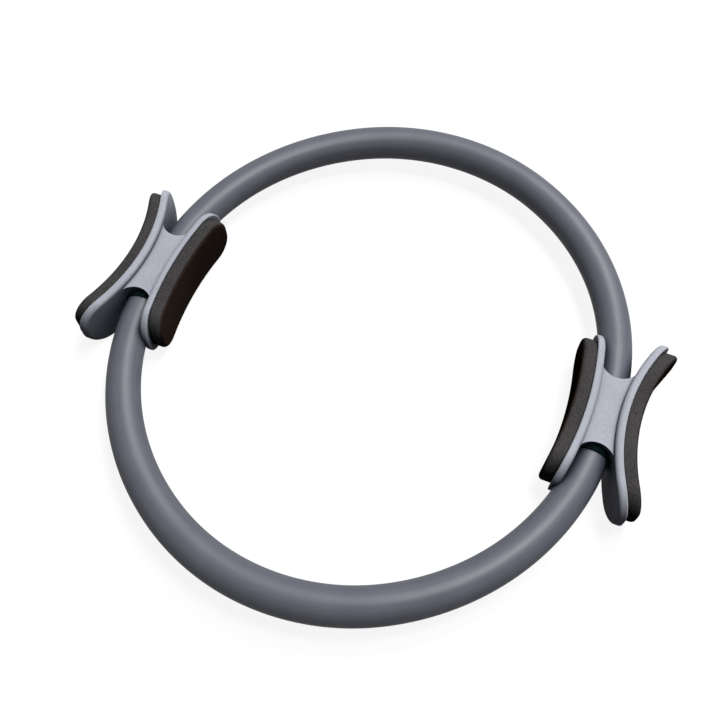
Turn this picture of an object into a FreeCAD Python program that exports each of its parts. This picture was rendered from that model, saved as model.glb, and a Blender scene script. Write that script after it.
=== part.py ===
import FreeCAD, Part
import math
import os
import Sketcher

doc = FreeCAD.newDocument("pilates_ring")
sheet = doc.addObject("Spreadsheet::Sheet", "sizes")
sheet.Label = "sizes"

# Driving dimensions in millimetres.
SIZES = {
    # hoop: an oval of two bent rods, flatter where the handles sit
    "half_width": 164.0,
    "half_length": 185.0,
    "straight_run": 14.4,
    "core_radius": 4.5,
    "core_end_gap": 1.0,
    "sleeve_mid_radius": 12.5,
    "sleeve_end_radius": 11.4,
    "sleeve_depth": 18.0,
    # fits: free play round soft pieces, running fit round rods and pins
    "play": 0.3,
    "fit": 0.1,
    # handle halves: a saddle-curved flange plate and half of the clamp block, both a little nearer to
    # the front than the hoop ends' meeting point
    "outer_waist": 7.4,
    "inner_waist": 8.6,
    "outer_saddle_radius": 136.5,
    "inner_saddle_radius": 247.0,
    "flange_thickness": 5.3,
    "flange_half_height": 20.0,
    "outer_half_length": 64.9,
    "inner_half_length": 57.5,
    "corner_radius": 17.2,
    "rim_radius": 3.0,
    "seat_edge_radius": 1.0,
    "bridge_half_height": 15.5,
    "bridge_half_length": 24.8,
    "arch_radius": 13.0,
    "arch_end": 34.2,
    "handle_offset": 2.2,
    # pads: foam plates glued to the flange plates
    "pad_thickness": 9.3,
    "pad_end_inset": 5.0,
    "pad_side_inset": 1.2,
    "pad_corner_radius": 15.8,
    "pad_edge_radius": 3.6,
    # inside the clamp block
    "coupler_radius": 7.0,
    "coupler_half_length": 15.0,
    "rod_passage": 1.0,
    "pin_radius": 1.5,
    "pin_place": 7.5,
    "collar_wall": 0.8,
    "front_collar_reach": 4.5,
    "back_collar_reach": 0.5,
    "mouth_relief": 0.6,
    "mouth_length": 66.0,
    "screw_radius": 1.5,
    "screw_head_radius": 2.8,
    "screw_head_height": 2.4,
    "screw_head_seat": 9.3,
    "screw_socket_radius": 1.4,
    "screw_socket_depth": 1.5,
    "screw_reach": 9.0,
    "screw_along": 9.0,
    "screw_up": 11.3,
    "overrun": 10.0,
}
# Each quarter of the hoop is a straight run in the handle, a side arc and an end arc, tangent to each
# other. The side arc takes this share of the quarter turn.
SHARES = {
    "side_arc_share": 0.6963,
}
# The arcs' angle and radii follow from the hoop's width and length.
DERIVED = {
    "join_angle": "=side_arc_share * 90 deg",
    "corner_gain": "=(1 - sin(join_angle)) / cos(join_angle)",
    "side_radius": "=(half_length - straight_run - half_width * corner_gain) / (1 - corner_gain)",
    "end_radius": "=side_radius + (half_width - side_radius) / cos(join_angle)",
}
for row, (alias, value) in enumerate({**SIZES, **SHARES, **DERIVED}.items(), start=1):
    sheet.set(f"A{row}", alias.replace("_", " "))
    sheet.set(f"B{row}", str(value))
    sheet.setAlias(f"B{row}", alias)
doc.recompute()

SLEEVE_STEPS = 12


def number(alias):
    value = sheet.get(alias)
    return float(getattr(value, "Value", value))


def length(words):
    """Sum of sizes in the sheet, as an expression and as a number."""
    sign = 1
    value = 0
    terms = []
    for word in words.split():
        if word in ("+", "-"):
            sign = 1 if word == "+" else -1
            terms.append(word)
        else:
            value += sign * number(word)
            terms.append(f"sizes.{word}")
    return " ".join(terms), value


def bind(item, **expressions):
    for name, expression in expressions.items():
        item.setExpression(name.replace("__", "."), expression)


def on_hoop(reach):
    """Angle along the side arc at which the hoop has come this far from the handle's middle."""
    return f"asin(({reach} - sizes.straight_run) / sizes.side_radius)"


def new_body(label):
    body = doc.addObject("PartDesign::Body", label)
    body.Label = label
    return body


def new_sketch(body, name, plane="XY_Plane"):
    sketch = body.newObject("Sketcher::SketchObject", name)
    origin_plane = [f for f in body.Origin.OriginFeatures if f.Role == plane][0]
    sketch.AttachmentSupport = [(origin_plane, "")]
    sketch.MapMode = "FlatFace"
    return sketch


def dimension(sketch, kind, *where, size):
    expression, value = size
    index = sketch.addConstraint(Sketcher.Constraint(kind, *where, value))
    sketch.setExpression(f"Constraints[{index}]", expression)


def edges_of(feature, wanted):
    return [f"Edge{i}" for i, edge in enumerate(feature.Shape.Edges, start=1) if wanted(edge)]


def round_edges(body, base, wanted, radius):
    fillet = body.newObject("PartDesign::Fillet", "Fillet")
    fillet.Base = (base, edges_of(base, wanted))
    fillet.setExpression("Radius", radius)
    doc.recompute()
    return fillet


def near(a, b):
    return abs(a - b) < number("fit") / 100


def boolean(kind, label, base, tool):
    item = doc.addObject(kind, label)
    item.Label = label
    item.Base = base
    item.Tool = tool
    return item


def group(label, items):
    item = doc.addObject("Part::MultiFuse", label)
    item.Label = label
    item.Shapes = items
    return item


def cylinder(label, radius, height, axis, base=("0", "0", "0")):
    """Cylinder of this height from its base point, along an axis of the part's own frame."""
    item = doc.addObject("Part::Cylinder", label)
    bind(item, Radius=radius, Height=height)
    turn = FreeCAD.Rotation(FreeCAD.Vector(0, 0, 1), FreeCAD.Vector(*axis))
    item.Placement = FreeCAD.Placement(FreeCAD.Vector(0, 0, 0), turn)
    place(item, base)
    return item


def place(item, base):
    for axis, size in zip("xyz", base):
        if size != "0":
            item.setExpression(f".Placement.Base.{axis}", size)


def ring_piece(label, radius, start, end, bow, side):
    """Length of hoop, as thick as radius, between two reaches from the handle's middle."""
    item = doc.addObject("Part::Torus", label)
    sweep = f"{on_hoop(end)} - {on_hoop(start)}"
    bind(item, Radius1="sizes.side_radius", Radius2=radius, Angle3=sweep)
    turned = side if bow > 0 else -side
    first = f"{on_hoop(start)}" if turned > 0 else f"-{on_hoop(end)}"
    if bow < 0:
        first = f"{first} + 180 deg"
    item.Placement = FreeCAD.Placement(FreeCAD.Vector(0, 0, 0), FreeCAD.Rotation(FreeCAD.Vector(0, 0, 1), 1))
    item.setExpression(".Placement.Rotation.Angle", first)
    place(item, (f"{-bow} * sizes.side_radius", f"{side} * sizes.straight_run", "0"))
    return item


def rectangle(sketch, half_length, half_height):
    """Rectangle about the sketch's middle, from half of its length and half of its height."""
    far = length(half_length)
    high = length(half_height)
    corners = [(far[1], high[1]), (-far[1], high[1]), (-far[1], -high[1]), (far[1], -high[1])]
    points = [FreeCAD.Vector(x, y, 0) for x, y in corners]
    lines = []
    for first, last in zip(points, points[1:] + points[:1]):
        lines.append(sketch.addGeometry(Part.LineSegment(first, last), False))
    for line, after in zip(lines, lines[1:] + lines[:1]):
        sketch.addConstraint(Sketcher.Constraint("Coincident", line, 2, after, 1))
    for line, kind in zip(lines, ("Horizontal", "Vertical", "Horizontal", "Vertical")):
        sketch.addConstraint(Sketcher.Constraint(kind, line))
    sketch.addConstraint(Sketcher.Constraint("Symmetric", lines[0], 1, lines[2], 1, -1, 1))
    dimension(sketch, "DistanceX", -1, 1, lines[0], 1, size=far)
    dimension(sketch, "DistanceY", -1, 1, lines[0], 1, size=high)


def rounded_rectangle(sketch, half_length, half_height, corner):
    """Rectangle about the sketch's middle, its corners rounded."""
    far = length(half_length)
    high = length(half_height)
    radius = length(corner)
    straight = far[1] - radius[1]
    upright = high[1] - radius[1]
    up = FreeCAD.Vector(0, 0, 1)
    lines = []
    arcs = []
    for quarter in range(4):
        turn = FreeCAD.Rotation(up, 90 * quarter)
        along, across = (straight, upright) if quarter % 2 == 0 else (upright, straight)
        middle = turn.multVec(FreeCAD.Vector(along, across, 0))
        circle = Part.Circle(middle, up, radius[1])
        start = math.pi / 2 * quarter
        arcs.append(sketch.addGeometry(Part.ArcOfCircle(circle, start, start + math.pi / 2), False))
        first = turn.multVec(FreeCAD.Vector(along, across + radius[1], 0))
        last = turn.multVec(FreeCAD.Vector(-along, across + radius[1], 0))
        lines.append(sketch.addGeometry(Part.LineSegment(first, last), False))
    for arc, line, after in zip(arcs, lines, arcs[1:] + arcs[:1]):
        sketch.addConstraint(Sketcher.Constraint("Tangent", arc, 2, line, 1))
        sketch.addConstraint(Sketcher.Constraint("Tangent", line, 2, after, 1))
    for line, kind in zip(lines, ("Horizontal", "Vertical", "Horizontal", "Vertical")):
        sketch.addConstraint(Sketcher.Constraint(kind, line))
    for arc in arcs[1:]:
        sketch.addConstraint(Sketcher.Constraint("Equal", arcs[0], arc))
    sketch.addConstraint(Sketcher.Constraint("Symmetric", lines[0], 1, lines[2], 1, -1, 1))
    dimension(sketch, "Radius", arcs[0], size=radius)
    dimension(sketch, "DistanceY", -1, 1, lines[0], 1, size=high)
    dimension(sketch, "DistanceX", -1, 1, arcs[0], 1, size=far)


def saddle_plate(label, word, end_inset, near_depth, far_depth, half_height, corner):
    """Plate between two depths of the outer or inner saddle, cut to a rounded rectangle. Both of its faces
    are arcs about the saddle's upright axis."""
    body = new_body(label)
    sketch = new_sketch(body, "PlateSection")
    middle = length(f"{word}_waist + {word}_saddle_radius")
    half_length = f"{word}_half_length{end_inset}"
    half = length(f"{half_length} + overrun")
    up = FreeCAD.Vector(0, 0, 1)
    arcs = []
    edges = []
    for radius in (length(f"{word}_saddle_radius{depth}") for depth in (near_depth, far_depth)):
        edge = middle[1] - (radius[1] ** 2 - half[1] ** 2) ** 0.5
        circle = Part.Circle(FreeCAD.Vector(middle[1], 0, 0), up, radius[1])
        first = circle.parameter(FreeCAD.Vector(edge, half[1], 0))
        last = circle.parameter(FreeCAD.Vector(edge, -half[1], 0))
        arc = sketch.addGeometry(Part.ArcOfCircle(circle, first, last), False)
        dimension(sketch, "Radius", arc, size=radius)
        arcs.append(arc)
        edges.append(edge)
    for end, sign in ((1, 1), (2, -1)):
        points = [FreeCAD.Vector(edge, sign * half[1], 0) for edge in edges]
        line = sketch.addGeometry(Part.LineSegment(*points), False)
        sketch.addConstraint(Sketcher.Constraint("Coincident", arcs[0], end, line, 1))
        sketch.addConstraint(Sketcher.Constraint("Coincident", arcs[1], end, line, 2))
        sketch.addConstraint(Sketcher.Constraint("Horizontal", line))
    sketch.addConstraint(Sketcher.Constraint("Coincident", arcs[0], 3, arcs[1], 3))
    sketch.addConstraint(Sketcher.Constraint("PointOnObject", arcs[0], 3, -1))
    sketch.addConstraint(Sketcher.Constraint("Symmetric", arcs[0], 1, arcs[0], 2, -1))
    dimension(sketch, "DistanceX", -1, 1, arcs[0], 3, size=middle)
    dimension(sketch, "DistanceY", -1, 1, arcs[0], 1, size=half)
    doc.recompute()
    slab = body.newObject("PartDesign::Pad", "Slab")
    slab.Profile = sketch
    slab.Midplane = True
    slab.setExpression("Length", f"2 * ({length(half_height)[0]} + sizes.overrun)")
    doc.recompute()
    outline = new_sketch(body, "PlateOutline", "YZ_Plane")
    rounded_rectangle(outline, half_length, half_height, corner)
    rectangle(outline, f"{half_length} + overrun + overrun", f"{half_height} + overrun + overrun")
    doc.recompute()
    trim = body.newObject("PartDesign::Pocket", "Trim")
    trim.Profile = outline
    trim.Type = "ThroughAll"
    trim.Midplane = True
    doc.recompute()
    return body, trim


def on_saddle(word, depth):
    """Picks the edges that lie on the outer or inner saddle's face at this depth."""
    middle = length(f"{word}_waist + {word}_saddle_radius")[1]
    far = length(f"{word}_saddle_radius{depth}")[1]

    def wanted(edge):
        points = edge.discretize(5)
        return all(near(((p.x - middle) ** 2 + p.y ** 2) ** 0.5, far) for p in points)

    return wanted


def add_block(body):
    """Half of the clamp block, with its arched ends, against the flange plate."""
    sketch = new_sketch(body, "BlockOutline")
    half = length("bridge_half_length")
    arch = length("arch_radius")
    end = length("arch_end")
    centre = half[1] + arch[1]
    depth = (arch[1] ** 2 - (centre - end[1]) ** 2) ** 0.5
    up = FreeCAD.Vector(0, 0, 1)
    corners = {}
    for sign in (1, -1):
        circle = Part.Circle(FreeCAD.Vector(0, sign * centre, 0), up, arch[1])
        low = circle.parameter(FreeCAD.Vector(0, sign * half[1], 0))
        high = circle.parameter(FreeCAD.Vector(depth, sign * end[1], 0))
        first, last = (low, high) if sign > 0 else (high, low)
        arc = sketch.addGeometry(Part.ArcOfCircle(circle, first, last), False)
        corners[sign] = (arc, 1, 2) if sign > 0 else (arc, 2, 1)
        dimension(sketch, "Radius", arc, size=arch)
        sketch.addConstraint(Sketcher.Constraint("PointOnObject", arc, 3, -2))
    ends = [FreeCAD.Vector(0, sign * half[1], 0) for sign in (1, -1)]
    split = sketch.addGeometry(Part.LineSegment(*ends), False)
    ends = [FreeCAD.Vector(depth, sign * end[1], 0) for sign in (1, -1)]
    back = sketch.addGeometry(Part.LineSegment(*ends), False)
    for sign, point in ((1, 1), (-1, 2)):
        arc, low, high = corners[sign]
        sketch.addConstraint(Sketcher.Constraint("Coincident", split, point, arc, low))
        sketch.addConstraint(Sketcher.Constraint("Coincident", back, point, arc, high))
    sketch.addConstraint(Sketcher.Constraint("PointOnObject", split, 1, -2))
    sketch.addConstraint(Sketcher.Constraint("Symmetric", split, 1, split, 2, -1))
    sketch.addConstraint(Sketcher.Constraint("Vertical", back))
    dimension(sketch, "DistanceY", -1, 1, split, 1, size=half)
    dimension(sketch, "DistanceY", -1, 1, back, 1, size=end)
    doc.recompute()
    pad = body.newObject("PartDesign::Pad", "Block")
    pad.Profile = sketch
    pad.Midplane = True
    pad.setExpression("Length", "2 * sizes.bridge_half_height")
    doc.recompute()


SCREW_SPOTS = [(along, up) for along in (1, -1) for up in (1, -1)]
COLLAR_BORE = "(sizes.sleeve_end_radius + sizes.play)"
COLLAR_RADIUS = f"({COLLAR_BORE} + sizes.collar_wall)"
SOCKET_START = "(sizes.sleeve_depth - sizes.play)"
SEAT_DEPTH = " - flange_thickness"
ACROSS = (1, 0, 0)
ALONG = (0, 1, 0)
UPWARD = (0, 0, 1)


def collar_end(forward):
    """How far from the handle's middle a collar ends: the front half's collars stand further out."""
    word, sign = ("back", "-") if forward > 0 else ("front", "+")
    return f"(sizes.bridge_half_length {sign} sizes.handle_offset + sizes.{word}_collar_reach)"


def screw_spot(along, up, across="0"):
    return across, f"{along} * sizes.screw_along", f"{up} * sizes.screw_up"


def grip_shell(label, word, bow, seat, facing):
    """Half of a handle: a flange plate and the half block that clamps the hoop ends. Facing says which
    way its own forward direction points once it is seated."""
    body, plate = saddle_plate(
        f"{label}_body", word, "", "", SEAT_DEPTH, "flange_half_height", "corner_radius"
    )
    rounded = round_edges(body, plate, on_saddle(word, ""), "sizes.rim_radius")
    round_edges(body, rounded, on_saddle(word, SEAT_DEPTH), "sizes.seat_edge_radius")
    add_block(body)
    place(body, ("0", f"{-facing} * sizes.handle_offset", "0"))
    tools = [
        cylinder(
            f"{label}_coupler_room", "sizes.coupler_radius", "2 * sizes.coupler_half_length", ALONG,
            ("0", "-sizes.coupler_half_length", "0"),
        ),
        cylinder(
            f"{label}_rod_room", "sizes.core_radius + sizes.rod_passage", "2 * sizes.sleeve_depth", ALONG,
            ("0", "-sizes.sleeve_depth", "0"),
        ),
    ]
    for side in (1, -1):
        end = collar_end(side * facing)
        tools.append(ring_piece(f"{label}_socket", COLLAR_RADIUS, SOCKET_START, end, bow, side))
        relief = "sizes.sleeve_end_radius + sizes.mouth_relief"
        tools.append(
            ring_piece(f"{label}_mouth", relief, SOCKET_START, "sizes.mouth_length", bow, side)
        )
    for along, up in SCREW_SPOTS:
        spot = screw_spot(along, up, "-sizes.overrun")
        if seat:
            hole = "sizes.screw_radius + sizes.fit"
            tools.append(cylinder(f"{label}_hole", hole, "3 * sizes.overrun", ACROSS, spot))
            spot = screw_spot(along, up, "sizes.screw_head_seat")
            hole = "sizes.screw_head_radius + sizes.fit"
            tools.append(cylinder(f"{label}_sink", hole, "sizes.overrun", ACROSS, spot))
        else:
            deep = "sizes.overrun + sizes.screw_reach"
            tools.append(cylinder(f"{label}_hole", "sizes.screw_radius", deep, ACROSS, spot))
    doc.recompute()
    return boolean("Part::Cut", label, body, group(f"{label}_hollows", tools))


def seated(item, side, angle, along="0"):
    """Puts a handle piece, drawn about the handle's middle, where that handle sits on the hoop."""
    turn = FreeCAD.Rotation(FreeCAD.Vector(0, 0, 1), angle)
    item.Placement = FreeCAD.Placement(FreeCAD.Vector(0, 0, 0), turn)
    place(item, (f"{side} * sizes.half_width", along, "sizes.flange_half_height"))
    return item


def foam_pad(label, word):
    """Foam plate of even thickness on a flange plate's seat, its face edges rounded."""
    high = "flange_half_height - pad_side_inset"
    face = f"{SEAT_DEPTH} - pad_thickness"
    body, plate = saddle_plate(label, word, " - pad_end_inset", SEAT_DEPTH, face, high, "pad_corner_radius")
    round_edges(body, plate, on_saddle(word, face), "sizes.pad_edge_radius")
    return body


def compound(label, items):
    item = doc.addObject("Part::Compound", label)
    item.Label = label
    item.Links = items
    return item


def handle(name, side):
    """All pieces of one handle. The inner half is drawn as the outer one is, and turned to face the hoop."""
    outward = 0 if side > 0 else 180
    inward = 180 - outward
    seated(grip_shell(f"{name}_outer_shell", "outer", 1, True, side), side, outward)
    seated(grip_shell(f"{name}_inner_shell", "inner", -1, False, -side), side, inward)
    forward = "-sizes.handle_offset"
    seated(foam_pad(f"{name}_outer_pad", "outer"), side, outward, forward)
    seated(foam_pad(f"{name}_inner_pad", "inner"), side, inward, forward)
    coupler_pieces(name, side, outward)
    screws = [shell_screw(f"{name}_screw", along, up) for along, up in SCREW_SPOTS]
    seated(compound(f"{name}_shell_screws", screws), side, outward)
    for word, forward in (("back", 1), ("front", -1)):
        label = f"{name}_{word}_collar"
        turned = forward * side
        end = collar_end(forward)
        ring = ring_piece(f"{label}_ring", COLLAR_RADIUS, SOCKET_START, end, 1, turned)
        bore = ring_piece(f"{label}_bore", COLLAR_BORE, "sizes.straight_run", "sizes.mouth_length", 1, turned)
        seated(boolean("Part::Cut", label, ring, bore), side, outward)


def coupler_pieces(name, side, angle):
    """Tube that joins the two rod ends, and the pins that lock them in it."""
    start = ("0", "-sizes.coupler_half_length", "0")
    long = "2 * sizes.coupler_half_length"
    tube = cylinder(f"{name}_coupler_tube", "sizes.coupler_radius", long, ALONG, start)
    start = ("0", "-sizes.sleeve_depth", "0")
    bore = "sizes.core_radius + sizes.fit"
    cuts = [cylinder(f"{name}_coupler_bore", bore, "2 * sizes.sleeve_depth", ALONG, start)]
    pins = []
    for end in (1, -1):
        spot = ("0", f"{end} * sizes.pin_place", "-sizes.overrun")
        cuts.append(cylinder(f"{name}_pin_hole", "sizes.pin_radius", "2 * sizes.overrun", UPWARD, spot))
        spot = ("0", f"{end} * sizes.pin_place", "sizes.play - sizes.coupler_radius")
        high = "2 * (sizes.coupler_radius - sizes.play)"
        pins.append(cylinder(f"{name}_pin", "sizes.pin_radius", high, UPWARD, spot))
    coupler = boolean("Part::Cut", f"{name}_coupler", tube, group(f"{name}_coupler_cuts", cuts))
    seated(coupler, side, angle)
    seated(compound(f"{name}_lock_pins", pins), side, angle)


def shell_screw(label, along, up):
    """Pan-head screw with a hexagon socket, from the outer half into the inner half."""
    long = "sizes.screw_reach + sizes.screw_head_seat"
    spot = screw_spot(along, up, "-sizes.screw_reach")
    shank = cylinder(f"{label}_shank", "sizes.screw_radius", long, ACROSS, spot)
    spot = screw_spot(along, up, "sizes.screw_head_seat")
    head = cylinder(f"{label}_head", "sizes.screw_head_radius", "sizes.screw_head_height", ACROSS, spot)
    socket = doc.addObject("Part::Prism", f"{label}_socket")
    socket.Polygon = 6
    bind(socket, Circumradius="sizes.screw_socket_radius", Height="sizes.overrun")
    turn = FreeCAD.Rotation(FreeCAD.Vector(0, 0, 1), FreeCAD.Vector(*ACROSS))
    socket.Placement = FreeCAD.Placement(FreeCAD.Vector(0, 0, 0), turn)
    deep = "sizes.screw_head_seat + sizes.screw_head_height - sizes.screw_socket_depth"
    place(socket, screw_spot(along, up, deep))
    return boolean("Part::Cut", label, group(f"{label}_blank", [shank, head]), socket)


def hoop_pipe(label, radius, start):
    """Round bar along half of the hoop's oval, from straight run to straight run."""
    body = new_body(label)
    path = new_sketch(body, "Path")
    wide = length("half_width")
    run = length("straight_run")
    first = length(start)
    side = length("side_radius")
    tall = length("half_length")
    sag = side[1] - wide[1]
    end_radius = number("end_radius")
    join = math.radians(number("join_angle"))
    up = FreeCAD.Vector(0, 0, 1)
    end_circle = Part.Circle(FreeCAD.Vector(0, tall[1] - end_radius, 0), up, end_radius)
    pieces = {}
    for sign in (1, -1):
        points = [FreeCAD.Vector(sign * wide[1], y, 0) for y in (first[1], run[1])]
        line = path.addGeometry(Part.LineSegment(*points), False)
        circle = Part.Circle(FreeCAD.Vector(-sign * sag, run[1], 0), up, side[1])
        angles = (0, join) if sign > 0 else (math.pi - join, math.pi)
        arc = path.addGeometry(Part.ArcOfCircle(circle, *angles), False)
        pieces[sign] = (line, arc)
    end = path.addGeometry(Part.ArcOfCircle(end_circle, join, math.pi - join), False)
    crown = path.addGeometry(Part.Point(FreeCAD.Vector(0, tall[1], 0)), True)
    right, right_arc = pieces[1]
    left, left_arc = pieces[-1]
    path.addConstraint(Sketcher.Constraint("Vertical", right))
    path.addConstraint(Sketcher.Constraint("Tangent", right, 2, right_arc, 1))
    path.addConstraint(Sketcher.Constraint("Tangent", right_arc, 2, end, 1))
    path.addConstraint(Sketcher.Constraint("Tangent", end, 2, left_arc, 1))
    path.addConstraint(Sketcher.Constraint("Tangent", left_arc, 2, left, 2))
    path.addConstraint(Sketcher.Constraint("Symmetric", right, 1, left, 1, -2))
    path.addConstraint(Sketcher.Constraint("Symmetric", right, 2, left, 2, -2))
    path.addConstraint(Sketcher.Constraint("Equal", right_arc, left_arc))
    path.addConstraint(Sketcher.Constraint("PointOnObject", crown, 1, end))
    path.addConstraint(Sketcher.Constraint("PointOnObject", crown, 1, -2))
    dimension(path, "DistanceX", -1, 1, right, 1, size=wide)
    dimension(path, "DistanceY", -1, 1, right, 1, size=first)
    dimension(path, "DistanceY", -1, 1, right, 2, size=run)
    dimension(path, "DistanceY", -1, 1, crown, 1, size=tall)
    dimension(path, "Radius", right_arc, size=side)
    doc.recompute()
    profile = new_sketch(body, "Profile", "XZ_Plane")
    circle = profile.addGeometry(Part.Circle(FreeCAD.Vector(wide[1], 0, 0), up, length(radius)[1]), False)
    profile.addConstraint(Sketcher.Constraint("PointOnObject", circle, 3, -1))
    dimension(profile, "DistanceX", -1, 1, circle, 3, size=wide)
    dimension(profile, "Radius", circle, size=length(radius))
    profile.setExpression(".AttachmentOffset.Base.z", f"-({first[0]})")
    doc.recompute()
    pipe = body.newObject("PartDesign::AdditivePipe", "Pipe")
    pipe.Profile = profile
    pipe.Spine = path
    doc.recompute()
    return body


def sleeve_section(label, angle, end):
    """Circle across the sleeve where the hoop's outward direction has this angle. It thins to the ends."""
    item = doc.addObject("Part::Circle", label)
    side_x = f"sizes.half_width - sizes.side_radius + sizes.side_radius * cos({end})"
    side_y = f"sizes.straight_run + sizes.side_radius * sin({end})"
    end_x = f"sizes.end_radius * cos({end})"
    end_y = f"sizes.half_length - sizes.end_radius + sizes.end_radius * sin({end})"
    on_side = f"{end} < sizes.join_angle"
    mirror = "" if angle == end else "-"
    across = f"{mirror}({on_side} ? {side_x} : {end_x})"
    along = f"({on_side} ? {side_y} : {end_y})"
    turn = f"rotation({angle}; 0; -90)"
    item.setExpression("Placement", f"placement(vector({across}; {along}; 0); {turn})")
    thin = "(sizes.sleeve_mid_radius - sizes.sleeve_end_radius)"
    item.setExpression("Radius", f"sizes.sleeve_mid_radius - {thin} * cos({end}) ^ 2")
    return item


def hoop_half(name, angle):
    """Bent rod and the tube of soft rubber over it."""
    rod = hoop_pipe(f"{name}_rod", "core_radius", "core_end_gap")
    holes = []
    for side in (1, -1):
        spot = (f"{side} * sizes.half_width", "sizes.pin_place", "-sizes.overrun")
        hole = "sizes.pin_radius + sizes.fit"
        holes.append(cylinder(f"{name}_rod_hole", hole, "2 * sizes.overrun", UPWARD, spot))
    core = boolean("Part::Cut", f"{name}_core", rod, group(f"{name}_rod_holes", holes))
    first = on_hoop("sizes.sleeve_depth")
    angles = [(first, first)]
    for step in range(1, SLEEVE_STEPS):
        turned = f"(180 deg * {step} / {SLEEVE_STEPS})"
        mirrored = f"(180 deg * {SLEEVE_STEPS - step} / {SLEEVE_STEPS})"
        angles.append((turned, turned if 2 * step <= SLEEVE_STEPS else mirrored))
    angles.append((f"(180 deg - {first})", first))
    loft = doc.addObject("Part::Loft", f"{name}_tube")
    loft.Sections = [sleeve_section(f"{name}_section", turned, end) for turned, end in angles]
    loft.Solid = True
    bore = hoop_pipe(f"{name}_bore", "core_radius + play", "core_end_gap")
    sleeve = boolean("Part::Cut", f"{name}_sleeve", loft, bore)
    for item in (core, sleeve):
        turn = FreeCAD.Rotation(FreeCAD.Vector(0, 0, 1), angle)
        item.Placement = FreeCAD.Placement(FreeCAD.Vector(0, 0, 0), turn)
        place(item, ("0", "0", "sizes.flange_half_height"))


hoop_half("back", 0)
hoop_half("front", 180)
handle("right", 1)
handle("left", -1)
doc.recompute()

HANDLE_PIECES = (
    "outer_shell", "inner_shell", "outer_pad", "inner_pad", "coupler", "lock_pins", "shell_screws",
    "back_collar", "front_collar",
)
nodes = [f"{half}_{piece}" for half in ("front", "back") for piece in ("core", "sleeve")]
nodes += [f"{side}_{piece}" for side in ("left", "right") for piece in HANDLE_PIECES]

for item in doc.Objects:
    if "Invalid" in item.State or "Error" in item.State:
        raise RuntimeError(f"{item.Name}: {item.State}")

os.makedirs("parts", exist_ok=True)
for node in nodes:
    item = doc.getObjectsByLabel(node)[0]
    shape = item.Shape
    if shape.isNull() or not shape.isValid() or not shape.Solids:
        raise RuntimeError(f"{node} has no sound solid")
    print(node, len(shape.Solids), round(shape.Volume))
    shape.exportStep(f"parts/{node}.step")
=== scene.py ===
import math

import bpy
import numpy as np
from mathutils import Matrix, Vector

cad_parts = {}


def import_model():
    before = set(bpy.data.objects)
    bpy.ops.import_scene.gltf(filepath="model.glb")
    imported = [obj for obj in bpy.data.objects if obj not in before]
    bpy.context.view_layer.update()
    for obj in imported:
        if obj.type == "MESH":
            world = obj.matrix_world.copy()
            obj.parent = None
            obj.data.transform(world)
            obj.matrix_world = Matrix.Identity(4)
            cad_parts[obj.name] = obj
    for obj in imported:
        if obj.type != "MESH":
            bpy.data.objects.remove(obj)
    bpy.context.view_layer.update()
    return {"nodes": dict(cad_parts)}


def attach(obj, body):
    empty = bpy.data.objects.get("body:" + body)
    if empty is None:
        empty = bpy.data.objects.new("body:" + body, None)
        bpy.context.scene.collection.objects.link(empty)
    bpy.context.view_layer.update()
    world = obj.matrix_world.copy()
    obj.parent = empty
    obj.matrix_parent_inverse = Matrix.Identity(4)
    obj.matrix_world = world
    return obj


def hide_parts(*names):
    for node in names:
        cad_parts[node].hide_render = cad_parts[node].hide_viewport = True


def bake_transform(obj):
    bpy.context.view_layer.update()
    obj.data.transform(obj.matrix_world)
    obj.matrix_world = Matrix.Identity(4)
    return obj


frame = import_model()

MM = 0.001
QUARTER_TURN = math.pi / 2
FULL_TURN = 2 * math.pi
SIDES = (("left", -1), ("right", 1))
HALVES = (("front", -1), ("back", 1))

# Hoop, as in the CAD model: straight runs in the handles, side arcs and end arcs.
HALF_WIDTH = 164.0 * MM
HALF_LENGTH = 185.0 * MM
STRAIGHT_RUN = 14.4 * MM
SIDE_ARC_SHARE = 0.6963  # of a quarter turn
JOIN = SIDE_ARC_SHARE * QUARTER_TURN  # outward angle where the two arcs meet
CORNER_GAIN = (1 - math.sin(JOIN)) / math.cos(JOIN)
SIDE_RADIUS = (HALF_LENGTH - STRAIGHT_RUN - HALF_WIDTH * CORNER_GAIN) / (1 - CORNER_GAIN)
END_RADIUS = SIDE_RADIUS + (HALF_WIDTH - SIDE_RADIUS) / math.cos(JOIN)
HOOP_Z = 20.0 * MM
HOOP_MIDDLE = Vector((0, 0, HOOP_Z))
SLEEVE_MID_RADIUS = 12.5 * MM
SLEEVE_END_RADIUS = 11.4 * MM
SLEEVE_START = 18.0 * MM
BORE_RADIUS = 4.8 * MM
CORE_RADIUS = 4.5 * MM
CORE_START = 1.0 * MM

# Mesh steps of a quarter of the hoop: in the straight run, along the arcs and round the tube.
STRAIGHT_STEPS = 4
SLEEVE_STEPS, SLEEVE_AROUND = 110, 56
CORE_STEPS, CORE_AROUND = 60, 20

# Pads, on the saddle-curved seats of the handle plates.
PLATE_THICKNESS = 5.3 * MM
HANDLE_OFFSET = 2.2 * MM
WAIST = {"outer": 7.4 * MM, "inner": 8.6 * MM}
SADDLE_RADIUS = {"outer": 136.5 * MM, "inner": 247.0 * MM}
PAD_HALF_LENGTH = {"outer": 59.9 * MM, "inner": 52.5 * MM}
PAD_HALF_HEIGHT = 18.8 * MM
PAD_THICKNESS = 9.3 * MM
PAD_CORNER = 15.8 * MM
PAD_EDGE = 3.6 * MM
PAD_CROWN = 0.35 * MM
PAD_GAP = 0.05 * MM
PAD_BACK_BEVEL = 0.12 * MM
PAD_WALL_START = 0.5 * MM

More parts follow.
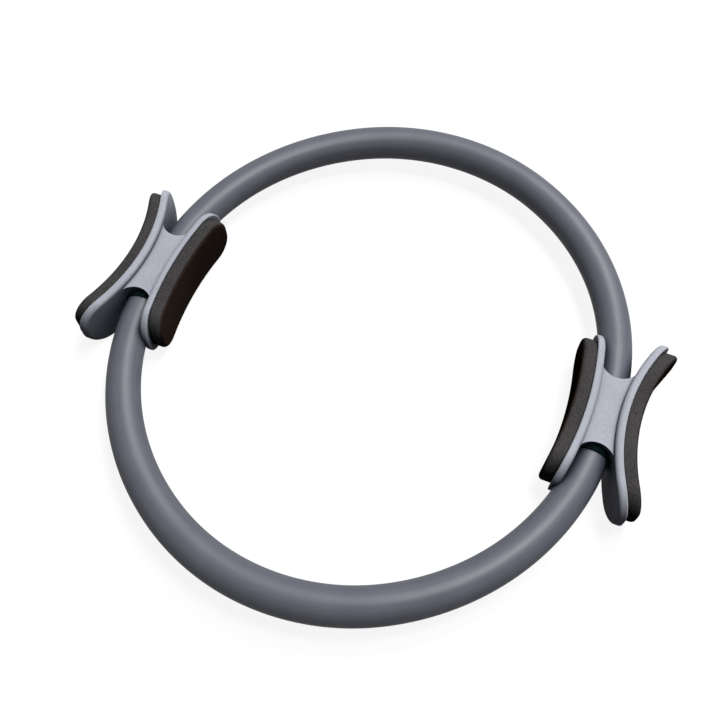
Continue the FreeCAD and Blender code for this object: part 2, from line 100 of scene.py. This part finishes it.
# Rings of points on a pad: how far in from its outline those on its back and face lie,
# and the steps in its walls, its rolled edge and its outline.
PAD_RIDGE = 0.6 * MM  # half the height of the innermost ring
PAD_LAST_INSET = PAD_HALF_HEIGHT - PAD_RIDGE
PAD_BACK_INSETS = tuple(inset * MM for inset in (12, 6, 2, 0.5))
PAD_FACE_INSETS = tuple(inset * MM for inset in (4.4, 5.6, 7.5, 10, 13, 16))
WALL_STEPS = 4
EDGE_STEPS = 8
LONG_STEPS, SHORT_STEPS, CORNER_STEPS = 44, 8, 14
LEAST_CORNER_SHARE = 0.05

# Most of a noise texture's values lie in this span.
NOISE_SPAN = (0.3, 0.7)
WHITE = (1.0, 1.0, 1.0)
OCCLUSION_SAMPLES = 8
METAL_ROUGH_SPREAD = 0.06

# Floor and backdrop: as the camera and gloss see them, and as they light the object.
FLOOR_REACH = 6.0
FLOOR_GLOW = 0.90
FLOOR_PALE = (0.14, 0.14, 0.14)
FLOOR_SHADE = (0.04, 0.04, 0.045)
BACKDROP_GLOW = 0.92
FILL_LIGHT = 0.02

# Soft boxes: name, place, side and level, the brightness of a white card at the hoop facing it.
LAMPS = (
    ("low", (1.03, 2.32, 1.61), 0.8, 0.10),
    ("middle", (0.54, 2.01, 2.18), 0.8, 0.26),
    ("high", (0.16, 1.49, 2.62), 0.8, 0.34),
    ("top", (0.60, 0.50, 2.50), 0.6, 0.54),
)

# Camera, fitted to the hoop's edges and the handles' outlines in the photograph.
AZIMUTH = math.radians(20.99)
ELEVATION = math.radians(59.81)
DISTANCE = 583.89 * MM
YAW = math.radians(0.63)
PITCH = math.radians(-1.54)
FOCAL_PIXELS = 836.79
PHOTO_PIXELS = 725
SENSOR_WIDTH = 36.0
NEAR_CLIP = 10 * MM


# ---- meshes


def hoop_at(theta):
    """Point of the first quarter's middle line where the outward direction has this angle."""
    if theta < JOIN:
        return (
            HALF_WIDTH - SIDE_RADIUS + SIDE_RADIUS * math.cos(theta),
            STRAIGHT_RUN + SIDE_RADIUS * math.sin(theta),
        )
    return (
        END_RADIUS * math.cos(theta),
        HALF_LENGTH - END_RADIUS + END_RADIUS * math.sin(theta),
    )


def quarter_line(start, steps):
    """(point, outward angle) along a quarter of the hoop, from this far along the handle."""
    line = []
    first = 0.0
    if start < STRAIGHT_RUN:
        run = STRAIGHT_RUN - start
        for i in range(STRAIGHT_STEPS):
            line.append(((HALF_WIDTH, start + run * i / STRAIGHT_STEPS), 0.0))
    else:
        first = math.asin((start - STRAIGHT_RUN) / SIDE_RADIUS)
    for i in range(steps + 1):
        theta = first + (QUARTER_TURN - first) * i / steps
        line.append((hoop_at(theta), theta))
    return line


def new_object(name, verts, faces, uvs=None, sharp=()):
    """Smooth mesh. Edges between two vertices that are both in one of the sharp sets stay crisp."""
    mesh = bpy.data.meshes.new(name)
    mesh.from_pydata([tuple(v) for v in verts], [], faces)
    mesh.polygons.foreach_set("use_smooth", [True] * len(mesh.polygons))
    if uvs is not None:
        layer = mesh.uv_layers.new(name="along_around")
        layer.data.foreach_set("uv", np.array(uvs, float).ravel())
    for edge in mesh.edges:
        first, last = edge.vertices
        edge.use_edge_sharp = any(first in ring and last in ring for ring in sharp)
    mesh.update()
    obj = bpy.data.objects.new(name, mesh)
    bpy.context.scene.collection.objects.link(obj)
    return obj


def hoop_tube(name, sx, sy, start, steps, around, outer, inner=None):
    """A quarter of a round tube or bar along the hoop, on the sides that sx and sy give.

    outer(theta) is its radius and inner(theta) its bore. A bar has no bore.
    """
    line = quarter_line(start, steps)
    rows = len(line)
    flip = sx * sy < 0
    lengths = [0.0]
    for (here, _), (there, _) in zip(line, line[1:]):
        lengths.append(lengths[-1] + math.dist(here, there))
    shells = [outer, inner] if inner else [outer]
    verts = []
    for radius in shells:
        for (x, y), theta in line:
            out = Vector((sx * math.cos(theta), sy * math.sin(theta), 0))
            for k in range(around):
                angle = FULL_TURN * k / around
                ray = out * math.cos(angle) + Vector((0, 0, math.sin(angle)))
                verts.append(Vector((sx * x, sy * y, HOOP_Z)) + ray * radius(theta))
    faces, uvs = [], []

    def add(face, uv, turned):
        if turned != flip:
            face, uv = face[::-1], uv[::-1]
        faces.append(face)
        uvs.extend(uv)

    strip = FULL_TURN * SLEEVE_MID_RADIUS / around
    for shell in range(len(shells)):
        for i in range(rows - 1):
            low = (shell * rows + i) * around
            high = low + around
            for k in range(around):
                n = (k + 1) % around
                face = [low + k, high + k, high + n, low + n]
                uv = [
                    (lengths[i], k * strip), (lengths[i + 1], k * strip),
                    (lengths[i + 1], (k + 1) * strip), (lengths[i], (k + 1) * strip),
                ]
                add(face, uv, shell == 1)
    rings = []
    for i in (0, rows - 1):
        ring = [i * around + k for k in range(around)]
        rings.append(set(ring))
        if inner:
            bore = [rows * around + v for v in ring]
            rings.append(set(bore))
            loops = []
            for k in range(around):
                n = (k + 1) % around
                loops.append([ring[k], ring[n], bore[n], bore[k]])
        else:
            loops = [ring]
        for face in loops:
            add(face, [(lengths[i], 0.0)] * len(face), i == 0)
    return new_object(name, verts, faces, uvs, rings)


def sleeve_radius(theta):
    """The sleeve narrows towards the handles."""
    return SLEEVE_MID_RADIUS - (SLEEVE_MID_RADIUS - SLEEVE_END_RADIUS) * math.cos(theta) ** 2


def outline(half_length, half_height, corner, inset):
    """Points round a rounded rectangle that is drawn in by inset, as many for every inset."""
    far, high = half_length - inset, half_height - inset
    corner = max(corner - inset, min(far, high) * LEAST_CORNER_SHARE)
    reach, rise = far - corner, high - corner
    points = []
    for quarter, (cx, cy, steps, run) in enumerate((
        (reach, rise, LONG_STEPS, 2 * reach), (-reach, rise, SHORT_STEPS, 2 * rise),
        (-reach, -rise, LONG_STEPS, 2 * reach), (reach, -rise, SHORT_STEPS, 2 * rise),
    )):
        for i in range(CORNER_STEPS):
            angle = QUARTER_TURN * (quarter + i / CORNER_STEPS)
            points.append((cx + corner * math.cos(angle), cy + corner * math.sin(angle)))
        angle = QUARTER_TURN * (quarter + 1)
        x, y = cx + corner * math.cos(angle), cy + corner * math.sin(angle)
        dx, dy = math.cos(angle + QUARTER_TURN), math.sin(angle + QUARTER_TURN)
        points += [(x + dx * run * i / steps, y + dy * run * i / steps) for i in range(steps)]
    return points


def pad_rows():
    """(inset, height) of a pad's rings of points: back, walls, rolled edge and crowned face."""
    wall = PAD_THICKNESS - PAD_EDGE
    rows = [(inset, PAD_GAP) for inset in (PAD_LAST_INSET, *PAD_BACK_INSETS)]
    rows += [(PAD_BACK_BEVEL, PAD_BACK_BEVEL), (0.0, PAD_WALL_START)]
    rows += [(0.0, wall * i / WALL_STEPS) for i in range(1, WALL_STEPS + 1)]
    for i in range(1, EDGE_STEPS + 1):
        angle = QUARTER_TURN * i / EDGE_STEPS
        rows.append((PAD_EDGE * (1 - math.cos(angle)), wall + PAD_EDGE * math.sin(angle)))
    for inset in (*PAD_FACE_INSETS, PAD_LAST_INSET):
        share = (inset - PAD_EDGE) / (PAD_HALF_HEIGHT - PAD_EDGE)
        rows.append((inset, PAD_THICKNESS + PAD_CROWN * share * (2 - share)))
    return rows


def pad_mesh(name, side, word):
    """Foam plate on its saddle seat: walls, a rolled edge and a face that crowns a little."""
    facing = 1 if word == "outer" else -1
    flip = side * facing < 0
    middle = WAIST[word] + SADDLE_RADIUS[word]
    seat = SADDLE_RADIUS[word] - PLATE_THICKNESS

    def put(y, z, height):
        rho = middle - math.sqrt((seat - height) ** 2 - y * y)
        return Vector((side * (HALF_WIDTH + facing * rho), y - HANDLE_OFFSET, HOOP_Z + z))

    rows = pad_rows()
    count = 2 * LONG_STEPS + 2 * SHORT_STEPS + 4 * CORNER_STEPS
    verts, faces = [], []
    for inset, height in rows:
        points = outline(PAD_HALF_LENGTH[word], PAD_HALF_HEIGHT, PAD_CORNER, inset)
        verts += [put(y, z, height) for y, z in points]
    for i in range(len(rows) - 1):
        for k in range(count):
            n = (k + 1) % count
            face = [i * count + k, i * count + n, (i + 1) * count + n, (i + 1) * count + k]
            faces.append(face[::-1] if flip else face)

    # The first and last rings close with a strip between their long sides and a face at each end.
    top = CORNER_STEPS
    under = 3 * CORNER_STEPS + LONG_STEPS + SHORT_STEPS
    closing = []
    for i in range(LONG_STEPS):
        far = under + LONG_STEPS - i
        closing.append([top + i, top + i + 1, far - 1, far])
    closing.append(list(range(top + LONG_STEPS, under + 1)))
    closing.append(list(range(under + LONG_STEPS, top + count + 1)))
    for base, turn in ((0, True), ((len(rows) - 1) * count, False)):
        for loop in closing:
            face = [base + v % count for v in loop]
            faces.append(face if turn == flip else face[::-1])
    return new_object(name, verts, faces)


# ---- materials


def new_material(name):
    mat = bpy.data.materials.new(name)
    mat.use_nodes = True
    return mat, mat.node_tree, mat.node_tree.nodes["Principled BSDF"]


def node(tree, kind, **values):
    """Node with these settings: its own where it has one of that name, else its inputs'."""
    made = tree.nodes.new(kind)
    for key, value in values.items():
        if hasattr(made, key):
            setattr(made, key, value)
        else:
            made.inputs[key].default_value = value
    return made


def coordinates(tree, source, scale=(1, 1, 1)):
    where = tree.nodes.new("ShaderNodeTexCoord")
    mapping = node(tree, "ShaderNodeMapping", Scale=scale)
    tree.links.new(where.outputs[source], mapping.inputs["Vector"])
    return mapping.outputs["Vector"]


def noise(tree, vector, scale, detail, roughness):
    made = node(tree, "ShaderNodeTexNoise", Scale=scale, Detail=detail, Roughness=roughness)
    tree.links.new(vector, made.inputs["Vector"])
    return made.outputs["Fac"]


def ramp(tree, value, span, first, second):
    """Colour that goes from first to second as the value goes through the span."""
    made = tree.nodes.new("ShaderNodeValToRGB")
    for element, position, colour in zip(made.color_ramp.elements, span, (first, second)):
        element.position = position
        element.color = (*colour, 1)
    tree.links.new(value, made.inputs["Fac"])
    return made.outputs["Color"]


def spread(tree, value, span, first, second):
    """Number that goes from first to second as the value goes through the span."""
    made = node(tree, "ShaderNodeMapRange")
    for key, number in zip(("From Min", "From Max", "To Min", "To Max"), (*span, first, second)):
        made.inputs[key].default_value = number
    tree.links.new(value, made.inputs["Value"])
    return made.outputs["Result"]


def bump(tree, height, strength, distance, under=None):
    made = node(tree, "ShaderNodeBump", Strength=strength, Distance=distance)
    tree.links.new(height, made.inputs["Height"])
    if under is not None:
        tree.links.new(under, made.inputs["Normal"])
    return made.outputs["Normal"]


def multiply(tree, colour, other):
    made = node(tree, "ShaderNodeMix", data_type="RGBA", blend_type="MULTIPLY")
    factor, first, second = (made.inputs[i] for i in (0, 6, 7))
    factor.default_value = 1.0
    tree.links.new(colour, first)
    tree.links.new(other, second)
    return made.outputs[2]


def with_painted_shade(tree, colour, reach, span, dark):
    """The colour with painted shade: darkened where other surfaces stand close, as in grooves and
    under overhangs.
    """
    made = node(tree, "ShaderNodeAmbientOcclusion", samples=OCCLUSION_SAMPLES, Distance=reach)
    return multiply(tree, colour, ramp(tree, made.outputs["AO"], span, first=dark, second=WHITE))


def dress(tree, shader, colour, roughness, normal):
    tree.links.new(colour, shader.inputs["Base Color"])
    tree.links.new(roughness, shader.inputs["Roughness"])
    tree.links.new(normal, shader.inputs["Normal"])


def set_gloss(shader, level, tint=1.0):
    """A low level with a tint above 1 keeps the highlight but mirrors little at grazing angles."""
    shader.inputs["Specular IOR Level"].default_value = level
    shader.inputs["Specular Tint"].default_value = (tint, tint, tint, 1)


def sleeve_material():
    """Soft grey rubber with fine lines along the hoop."""
    mat, tree, shader = new_material("sleeve_rubber")
    streaks = coordinates(tree, "UV", scale=(9, 900, 1))
    plain = coordinates(tree, "UV")
    drawn = noise(tree, streaks, scale=1.0, detail=4.0, roughness=0.55)
    cloud = noise(tree, plain, scale=38.0, detail=4.0, roughness=0.6)
    grain = noise(tree, plain, scale=2600.0, detail=2.0, roughness=0.5)
    tone = ramp(tree, cloud, NOISE_SPAN, first=(0.112, 0.118, 0.147), second=(0.137, 0.144, 0.175))
    lines = ramp(tree, drawn, (0.25, 0.75), first=(0.80, 0.80, 0.81), second=(1.05, 1.05, 1.05))
    colour = multiply(tree, tone, lines)
    low = bump(tree, drawn, strength=0.05, distance=0.2 * MM)
    dress(
        tree, shader,
        # Painted shade: the rubber darkened where other surfaces stand close, as at the handles'
        # mouths.
        colour=with_painted_shade(tree, colour, reach=14 * MM, span=(0.25, 0.80), dark=(0.22, 0.23, 0.26)),
        roughness=spread(tree, drawn, NOISE_SPAN, first=0.38, second=0.50),
        normal=bump(tree, grain, strength=0.10, distance=0.1 * MM, under=low),
    )
    set_gloss(shader, level=0.03, tint=14.0)
    return mat


def shell_material():
    """Pale grey moulded plastic with a sparkling grain."""
    mat, tree, shader = new_material("shell_plastic")
    plain = coordinates(tree, "Object")
    cloud = noise(tree, plain, scale=60.0, detail=3.0, roughness=0.55)
    spark = noise(tree, plain, scale=1000.0, detail=3.0, roughness=0.7)
    tone = ramp(tree, cloud, NOISE_SPAN, first=(0.430, 0.445, 0.505), second=(0.470, 0.486, 0.548))
    speck = ramp(tree, spark, (0.35, 0.65), first=(0.84, 0.84, 0.845), second=(1.04, 1.04, 1.04))
    colour = multiply(tree, tone, speck)
    dress(
        tree, shader,
        # Painted shade: near-black close to the tube and in the grooves between rims and bridge.
        colour=with_painted_shade(tree, colour, reach=34 * MM, span=(0.30, 0.85), dark=(0.10, 0.11, 0.14)),
        roughness=spread(tree, spark, NOISE_SPAN, first=0.46, second=0.58),
        normal=bump(tree, spark, strength=0.25, distance=0.2 * MM),
    )
    set_gloss(shader, level=0.01, tint=8.0)
    return mat


def pad_material():
    """Black foam, with painted shade that makes the faces that look along X darker and browner."""
    mat, tree, shader = new_material("pad_foam")
    plain = coordinates(tree, "Object")
    cells = node(tree, "ShaderNodeTexVoronoi", Scale=1500.0, Randomness=1.0)
    tree.links.new(plain, cells.inputs["Vector"])
    coarse = noise(tree, plain, scale=700.0, detail=4.0, roughness=0.65)
    cloud = noise(tree, plain, scale=45.0, detail=3.0, roughness=0.6)
    tone = ramp(tree, cloud, NOISE_SPAN, first=(0.057, 0.054, 0.054), second=(0.074, 0.070, 0.070))
    speck = ramp(tree, coarse, NOISE_SPAN, first=(0.62, 0.62, 0.62), second=(1.25, 1.25, 1.25))
    where = tree.nodes.new("ShaderNodeTexCoord")
    facing = tree.nodes.new("ShaderNodeSeparateXYZ")
    tree.links.new(where.outputs["Normal"], facing.inputs[0])
    along_x = node(tree, "ShaderNodeMath", operation="ABSOLUTE")
    tree.links.new(facing.outputs["X"], along_x.inputs[0])
    # Painted shade: the broad faces, which look along X, darker and browner.
    face_shade = ramp(tree, along_x.outputs[0], (0.62, 0.80), first=WHITE, second=(0.60, 0.42, 0.33))
    colour = multiply(tree, multiply(tree, tone, speck), face_shade)
    fine = bump(tree, cells.outputs["Distance"], strength=0.35, distance=0.2 * MM)
    dress(
        tree, shader,
        # Painted shade: darker where the foam meets its plate.
        colour=with_painted_shade(tree, colour, reach=6 * MM, span=(0.35, 0.85), dark=(0.30, 0.30, 0.30)),
        roughness=spread(tree, coarse, NOISE_SPAN, first=0.62, second=0.80),
        normal=bump(tree, coarse, strength=0.30, distance=0.3 * MM, under=fine),
    )
    set_gloss(shader, level=0.0)
    return mat


def collar_material():
    """Near-black rubber."""
    mat, tree, shader = new_material("collar_rubber")
    grain = noise(tree, coordinates(tree, "Object"), scale=900.0, detail=3.0, roughness=0.6)
    dress(
        tree, shader,
        colour=ramp(
            tree, grain, NOISE_SPAN, first=(0.002, 0.006, 0.007), second=(0.004, 0.010, 0.011)
        ),
        roughness=spread(tree, grain, NOISE_SPAN, first=0.38, second=0.50),
        normal=bump(tree, grain, strength=0.15, distance=0.2 * MM),
    )
    set_gloss(shader, level=0.005)
    return mat


def fibreglass_material():
    """Yellowish rod with strands along it."""
    mat, tree, shader = new_material("fibreglass")
    streaks = coordinates(tree, "UV", scale=(12, 1500, 1))
    strands = noise(tree, streaks, scale=1.0, detail=3.0, roughness=0.6)
    dress(
        tree, shader,
        colour=ramp(tree, strands, NOISE_SPAN, first=(0.42, 0.38, 0.27), second=(0.58, 0.54, 0.42)),
        roughness=spread(tree, strands, NOISE_SPAN, first=0.35, second=0.5),
        normal=bump(tree, strands, strength=0.2, distance=0.2 * MM),
    )
    return mat


def metal_material(name, dark, light, rough, stretch):
    """Metal with fine lines, closest together along the axis with the largest stretch."""
    mat, tree, shader = new_material(name)
    stretched = coordinates(tree, "Object", scale=stretch)
    lines = noise(tree, stretched, scale=400.0, detail=3.0, roughness=0.6)
    smooth, coarse = rough - METAL_ROUGH_SPREAD, rough + METAL_ROUGH_SPREAD
    dress(
        tree, shader,
        colour=ramp(tree, lines, NOISE_SPAN, first=dark, second=light),
        roughness=spread(tree, lines, NOISE_SPAN, first=smooth, second=coarse),
        normal=bump(tree, lines, strength=0.1, distance=0.1 * MM),
    )
    shader.inputs["Metallic"].default_value = 1.0
    return mat


SLEEVE = sleeve_material()
SHELL = shell_material()
PAD = pad_material()
COLLAR = collar_material()
FIBREGLASS = fibreglass_material()
ALUMINIUM = metal_material(
    "cut_aluminium",
    dark=(0.68, 0.69, 0.70), light=(0.78, 0.79, 0.80), rough=0.32, stretch=(1, 6, 1),
)
STEEL = metal_material(
    "plated_steel",
    dark=(0.50, 0.50, 0.52), light=(0.62, 0.62, 0.64), rough=0.28, stretch=(6, 1, 1),
)
NODE_MATERIALS = {
    "shell": SHELL, "collar": COLLAR, "coupler": ALUMINIUM, "pins": STEEL, "screws": STEEL,
}


# ---- pieces

for y_word, sy in HALVES:
    for x_word, sx in SIDES:
        sleeve = hoop_tube(
            f"{y_word}_sleeve_{x_word}", sx, sy, SLEEVE_START, SLEEVE_STEPS, SLEEVE_AROUND,
            outer=sleeve_radius, inner=lambda theta: BORE_RADIUS,
        )
        sleeve.data.materials.append(SLEEVE)
        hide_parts(f"{y_word}_sleeve")
        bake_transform(sleeve)
        core = hoop_tube(
            f"{y_word}_core_{x_word}", sx, sy, CORE_START, CORE_STEPS, CORE_AROUND,
            outer=lambda theta: CORE_RADIUS,
        )
        core.data.materials.append(FIBREGLASS)
        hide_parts(f"{y_word}_core")
        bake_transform(core)

for x_word, sx in SIDES:
    for word in ("outer", "inner"):
        pad = pad_mesh(f"{x_word}_{word}_foam", sx, word)
        pad.data.materials.append(PAD)
        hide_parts(f"{x_word}_{word}_pad")
        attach(pad, f"{x_word}_handle")

for name, obj in frame["nodes"].items():
    word = name.split("_")[-1]
    if word in NODE_MATERIALS:
        obj.data.materials.clear()
        obj.data.materials.append(NODE_MATERIALS[word])


# ---- floor, light and camera


def seen_or_lit(tree, seen, lit):
    """Shader seen by the camera, in gloss and through glass. Other rays get lit."""
    path = tree.nodes.new("ShaderNodeLightPath")
    value = path.outputs["Is Camera Ray"]
    for kind in ("Is Glossy Ray", "Is Transmission Ray"):
        most = node(tree, "ShaderNodeMath", operation="MAXIMUM")
        tree.links.new(value, most.inputs[0])
        tree.links.new(path.outputs[kind], most.inputs[1])
        value = most.outputs[0]
    mix = tree.nodes.new("ShaderNodeMixShader")
    tree.links.new(value, mix.inputs["Fac"])
    tree.links.new(lit.outputs[0], mix.inputs[1])
    tree.links.new(seen.outputs[0], mix.inputs[2])
    return mix.outputs[0]


def floor():
    """Floor that looks white but for the object's shadow, and throws little light up."""
    far = FLOOR_REACH
    mesh = bpy.data.meshes.new("floor")
    corners = [(-far, -far, 0), (far, -far, 0), (far, far, 0), (-far, far, 0)]
    mesh.from_pydata(corners, [], [(0, 1, 2, 3)])
    obj = bpy.data.objects.new("floor", mesh)
    bpy.context.scene.collection.objects.link(obj)
    mat = bpy.data.materials.new("floor")
    mat.use_nodes = True
    tree = mat.node_tree
    tree.nodes.clear()
    out = tree.nodes.new("ShaderNodeOutputMaterial")
    glow = node(tree, "ShaderNodeEmission", Color=(*WHITE, 1), Strength=FLOOR_GLOW)
    pale = node(tree, "ShaderNodeBsdfDiffuse", Color=(*FLOOR_PALE, 1))
    shade = node(tree, "ShaderNodeBsdfDiffuse", Color=(*FLOOR_SHADE, 1))
    seen = tree.nodes.new("ShaderNodeAddShader")
    tree.links.new(glow.outputs[0], seen.inputs[0])
    tree.links.new(pale.outputs[0], seen.inputs[1])
    tree.links.new(seen_or_lit(tree, seen, shade), out.inputs["Surface"])
    mesh.materials.append(mat)


def world():
    """White backdrop that lights the object only a little."""
    made = bpy.data.worlds.new("studio")
    made.use_nodes = True
    tree = made.node_tree
    tree.nodes.clear()
    out = tree.nodes.new("ShaderNodeOutputWorld")
    seen = node(tree, "ShaderNodeBackground", Color=(*WHITE, 1), Strength=BACKDROP_GLOW)
    light = node(tree, "ShaderNodeBackground", Color=(*WHITE, 1), Strength=FILL_LIGHT)
    tree.links.new(seen_or_lit(tree, seen, light), out.inputs["Surface"])
    bpy.context.scene.world = made


def lamp(name, place, side, level):
    """Square soft box that faces the middle of the hoop."""
    data = bpy.data.lights.new(name, "AREA")
    data.shape = "RECTANGLE"
    data.size = data.size_y = side
    aim = HOOP_MIDDLE - Vector(place)
    data.energy = level * math.pi ** 2 * aim.length_squared
    obj = bpy.data.objects.new(name, data)
    obj.location = place
    obj.rotation_euler = aim.to_track_quat("-Z", "Y").to_euler()
    bpy.context.scene.collection.objects.link(obj)


def camera():
    """Camera aimed at the middle of the hoop, then turned by yaw and pitch."""
    level = math.cos(ELEVATION)
    back = Vector((math.sin(AZIMUTH) * level, -math.cos(AZIMUTH) * level, math.sin(ELEVATION)))
    place = back * DISTANCE + HOOP_MIDDLE
    right = Vector((math.cos(AZIMUTH), math.sin(AZIMUTH), 0))
    up = right.cross(-back)
    turn = Matrix.Rotation(YAW, 3, up)
    back, right = turn @ back, turn @ right
    turn = Matrix.Rotation(PITCH, 3, right)
    back, up = turn @ back, turn @ up
    data = bpy.data.cameras.new("camera")
    data.sensor_width = SENSOR_WIDTH
    data.lens = FOCAL_PIXELS * SENSOR_WIDTH / PHOTO_PIXELS
    data.clip_start = NEAR_CLIP
    obj = bpy.data.objects.new("camera", data)
    matrix = Matrix((right, up, back)).transposed().to_4x4()
    matrix.translation = place
    obj.matrix_world = matrix
    bpy.context.scene.collection.objects.link(obj)
    bpy.context.scene.camera = obj


floor()
world()
for name, place, side, level in LAMPS:
    lamp(name, place, side, level)
camera()
bpy.context.scene.view_settings.view_transform = "Standard"
